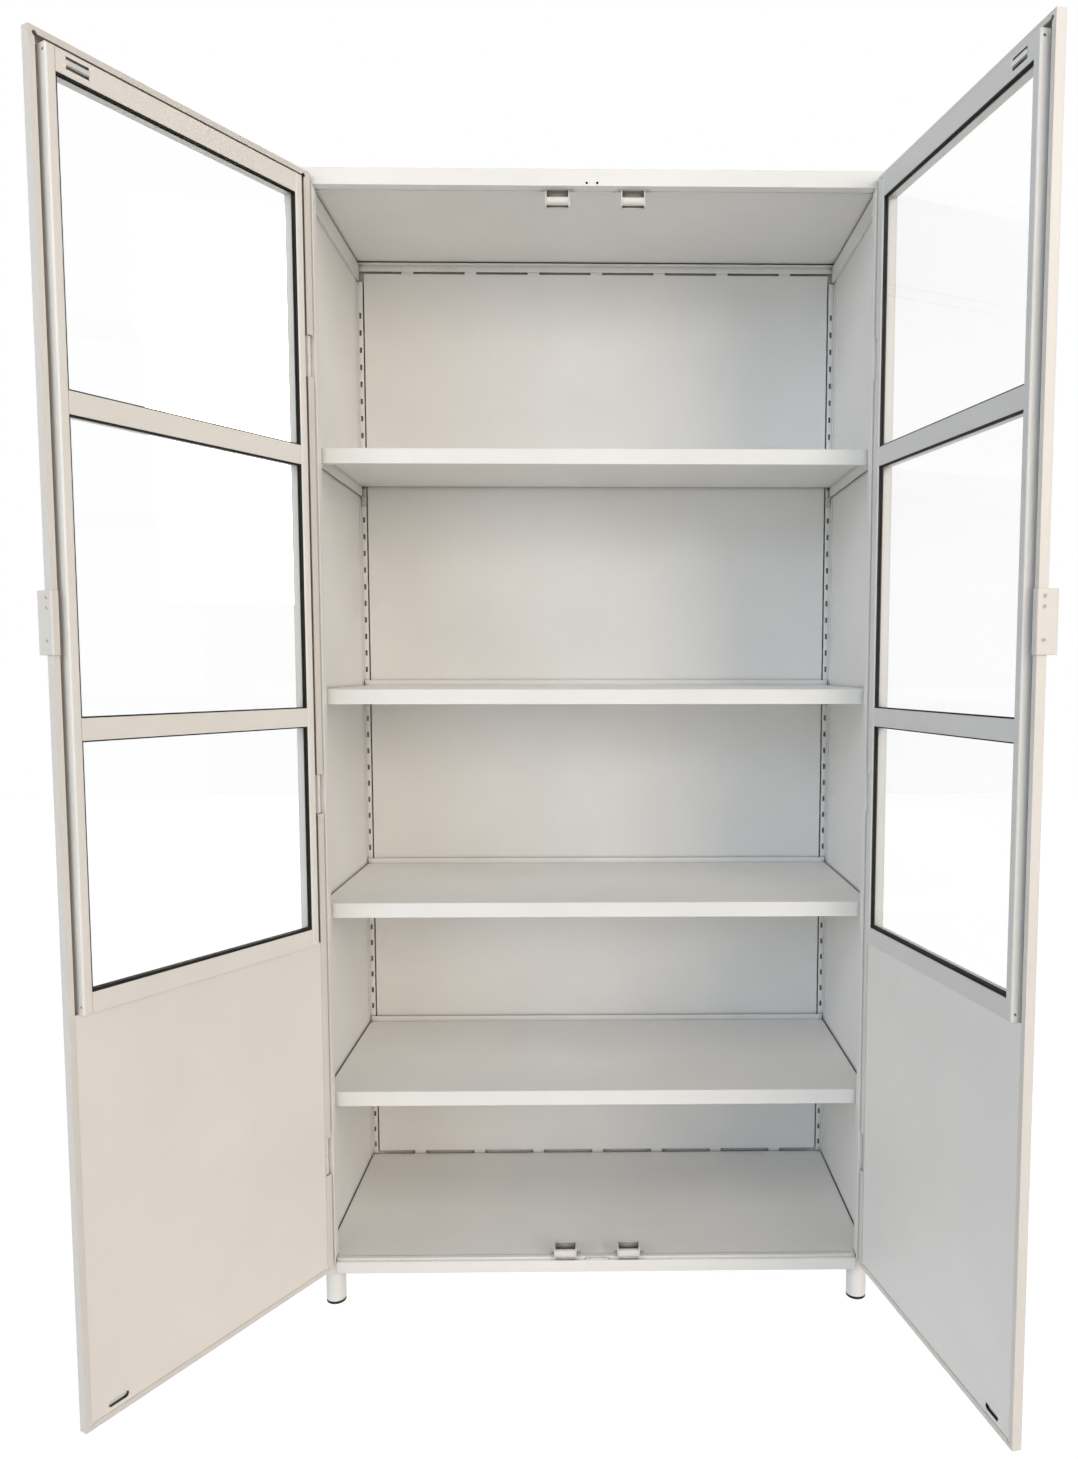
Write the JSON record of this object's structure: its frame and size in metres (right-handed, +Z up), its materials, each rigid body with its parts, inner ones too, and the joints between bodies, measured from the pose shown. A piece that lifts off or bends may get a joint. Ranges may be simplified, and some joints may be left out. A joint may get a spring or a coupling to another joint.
{
  "type": "steel cabinet",
  "caption": "Tall free-standing steel cabinet with glazed swing doors over solid lower panels, adjustable pan shelves and short round legs, for storing medicines and instruments.",
  "frame": {"origin": "on the floor, in the middle of the underside of the front left foot", "axes": "+X to the right as seen from the front, +Y from the front to the back, +Z up"},
  "size_m": [1.2235, 0.8377, 1.8],
  "materials": {
    "paint": "semi-gloss",
    "glass": "polished",
    "gasket": "matte",
    "rubber": "matte",
    "steel": "satin",
    "zinc": "satin",
    "catch": "gloss"
  },
  "bodies": {
    "carcass": {"left_side_panel": "paint", "right_side_panel": "paint", "top_panel": "paint", "bottom_panel": "paint", "back_panel": "paint", "top_rail_left": "paint", "top_rail_right": "paint", "top_rail_rear": "paint", "upright_front_left": "paint", "upright_front_right": "paint", "upright_rear_left": "paint", "upright_rear_right": "paint", "shelf_upper": "paint", "shelf_second": "paint", "shelf_third": "paint", "shelf_lower": "paint", "shelf_clips": "zinc", "leg_front_left": "paint", "leg_front_right": "paint", "leg_rear_left": "paint", "leg_rear_right": "paint", "foot_caps": "rubber", "left_frame_knuckles": "paint", "right_frame_knuckles": "paint", "left_hinge_pins": "steel", "right_hinge_pins": "steel", "catch_brackets": "catch", "catch_magnets": "catch", "catch_screws": "steel", "door_stop": "catch"},
    "left_door": {"left_door_skin": "paint", "left_door_liner": "paint", "left_glazing_stiles": "paint", "left_glazing_rails": "paint", "left_glazing_bars": "paint", "left_glazing_gaskets": "gasket", "left_glass_upper": "glass", "left_glass_middle": "glass", "left_glass_lower": "glass", "left_handle": "paint", "left_handle_screws": "steel", "left_door_knuckles": "paint", "left_striker_top": "steel", "left_striker_bottom": "steel"},
    "right_door": {"right_door_skin": "paint", "right_door_liner": "paint", "right_glazing_stiles": "paint", "right_glazing_rails": "paint", "right_glazing_bars": "paint", "right_glazing_gaskets": "gasket", "right_glass_upper": "glass", "right_glass_middle": "glass", "right_glass_lower": "glass", "right_handle": "paint", "right_handle_screws": "steel", "right_door_knuckles": "paint", "right_striker_top": "steel", "right_striker_bottom": "steel"}
  },
  "joints": [
    {"name": "left_door_swing", "type": "hinge", "parent": "carcass", "child": "left_door", "pos_m": [-0.0055, -0.028, 0.9], "axis": [0, 0, 1], "range_deg": [-4.5, 120.5]},
    {"name": "right_door_swing", "type": "hinge", "parent": "carcass", "child": "right_door", "pos_m": [0.8705, -0.028, 0.9], "axis": [0, 0, -1], "range_deg": [-23, 102]}
  ]
}
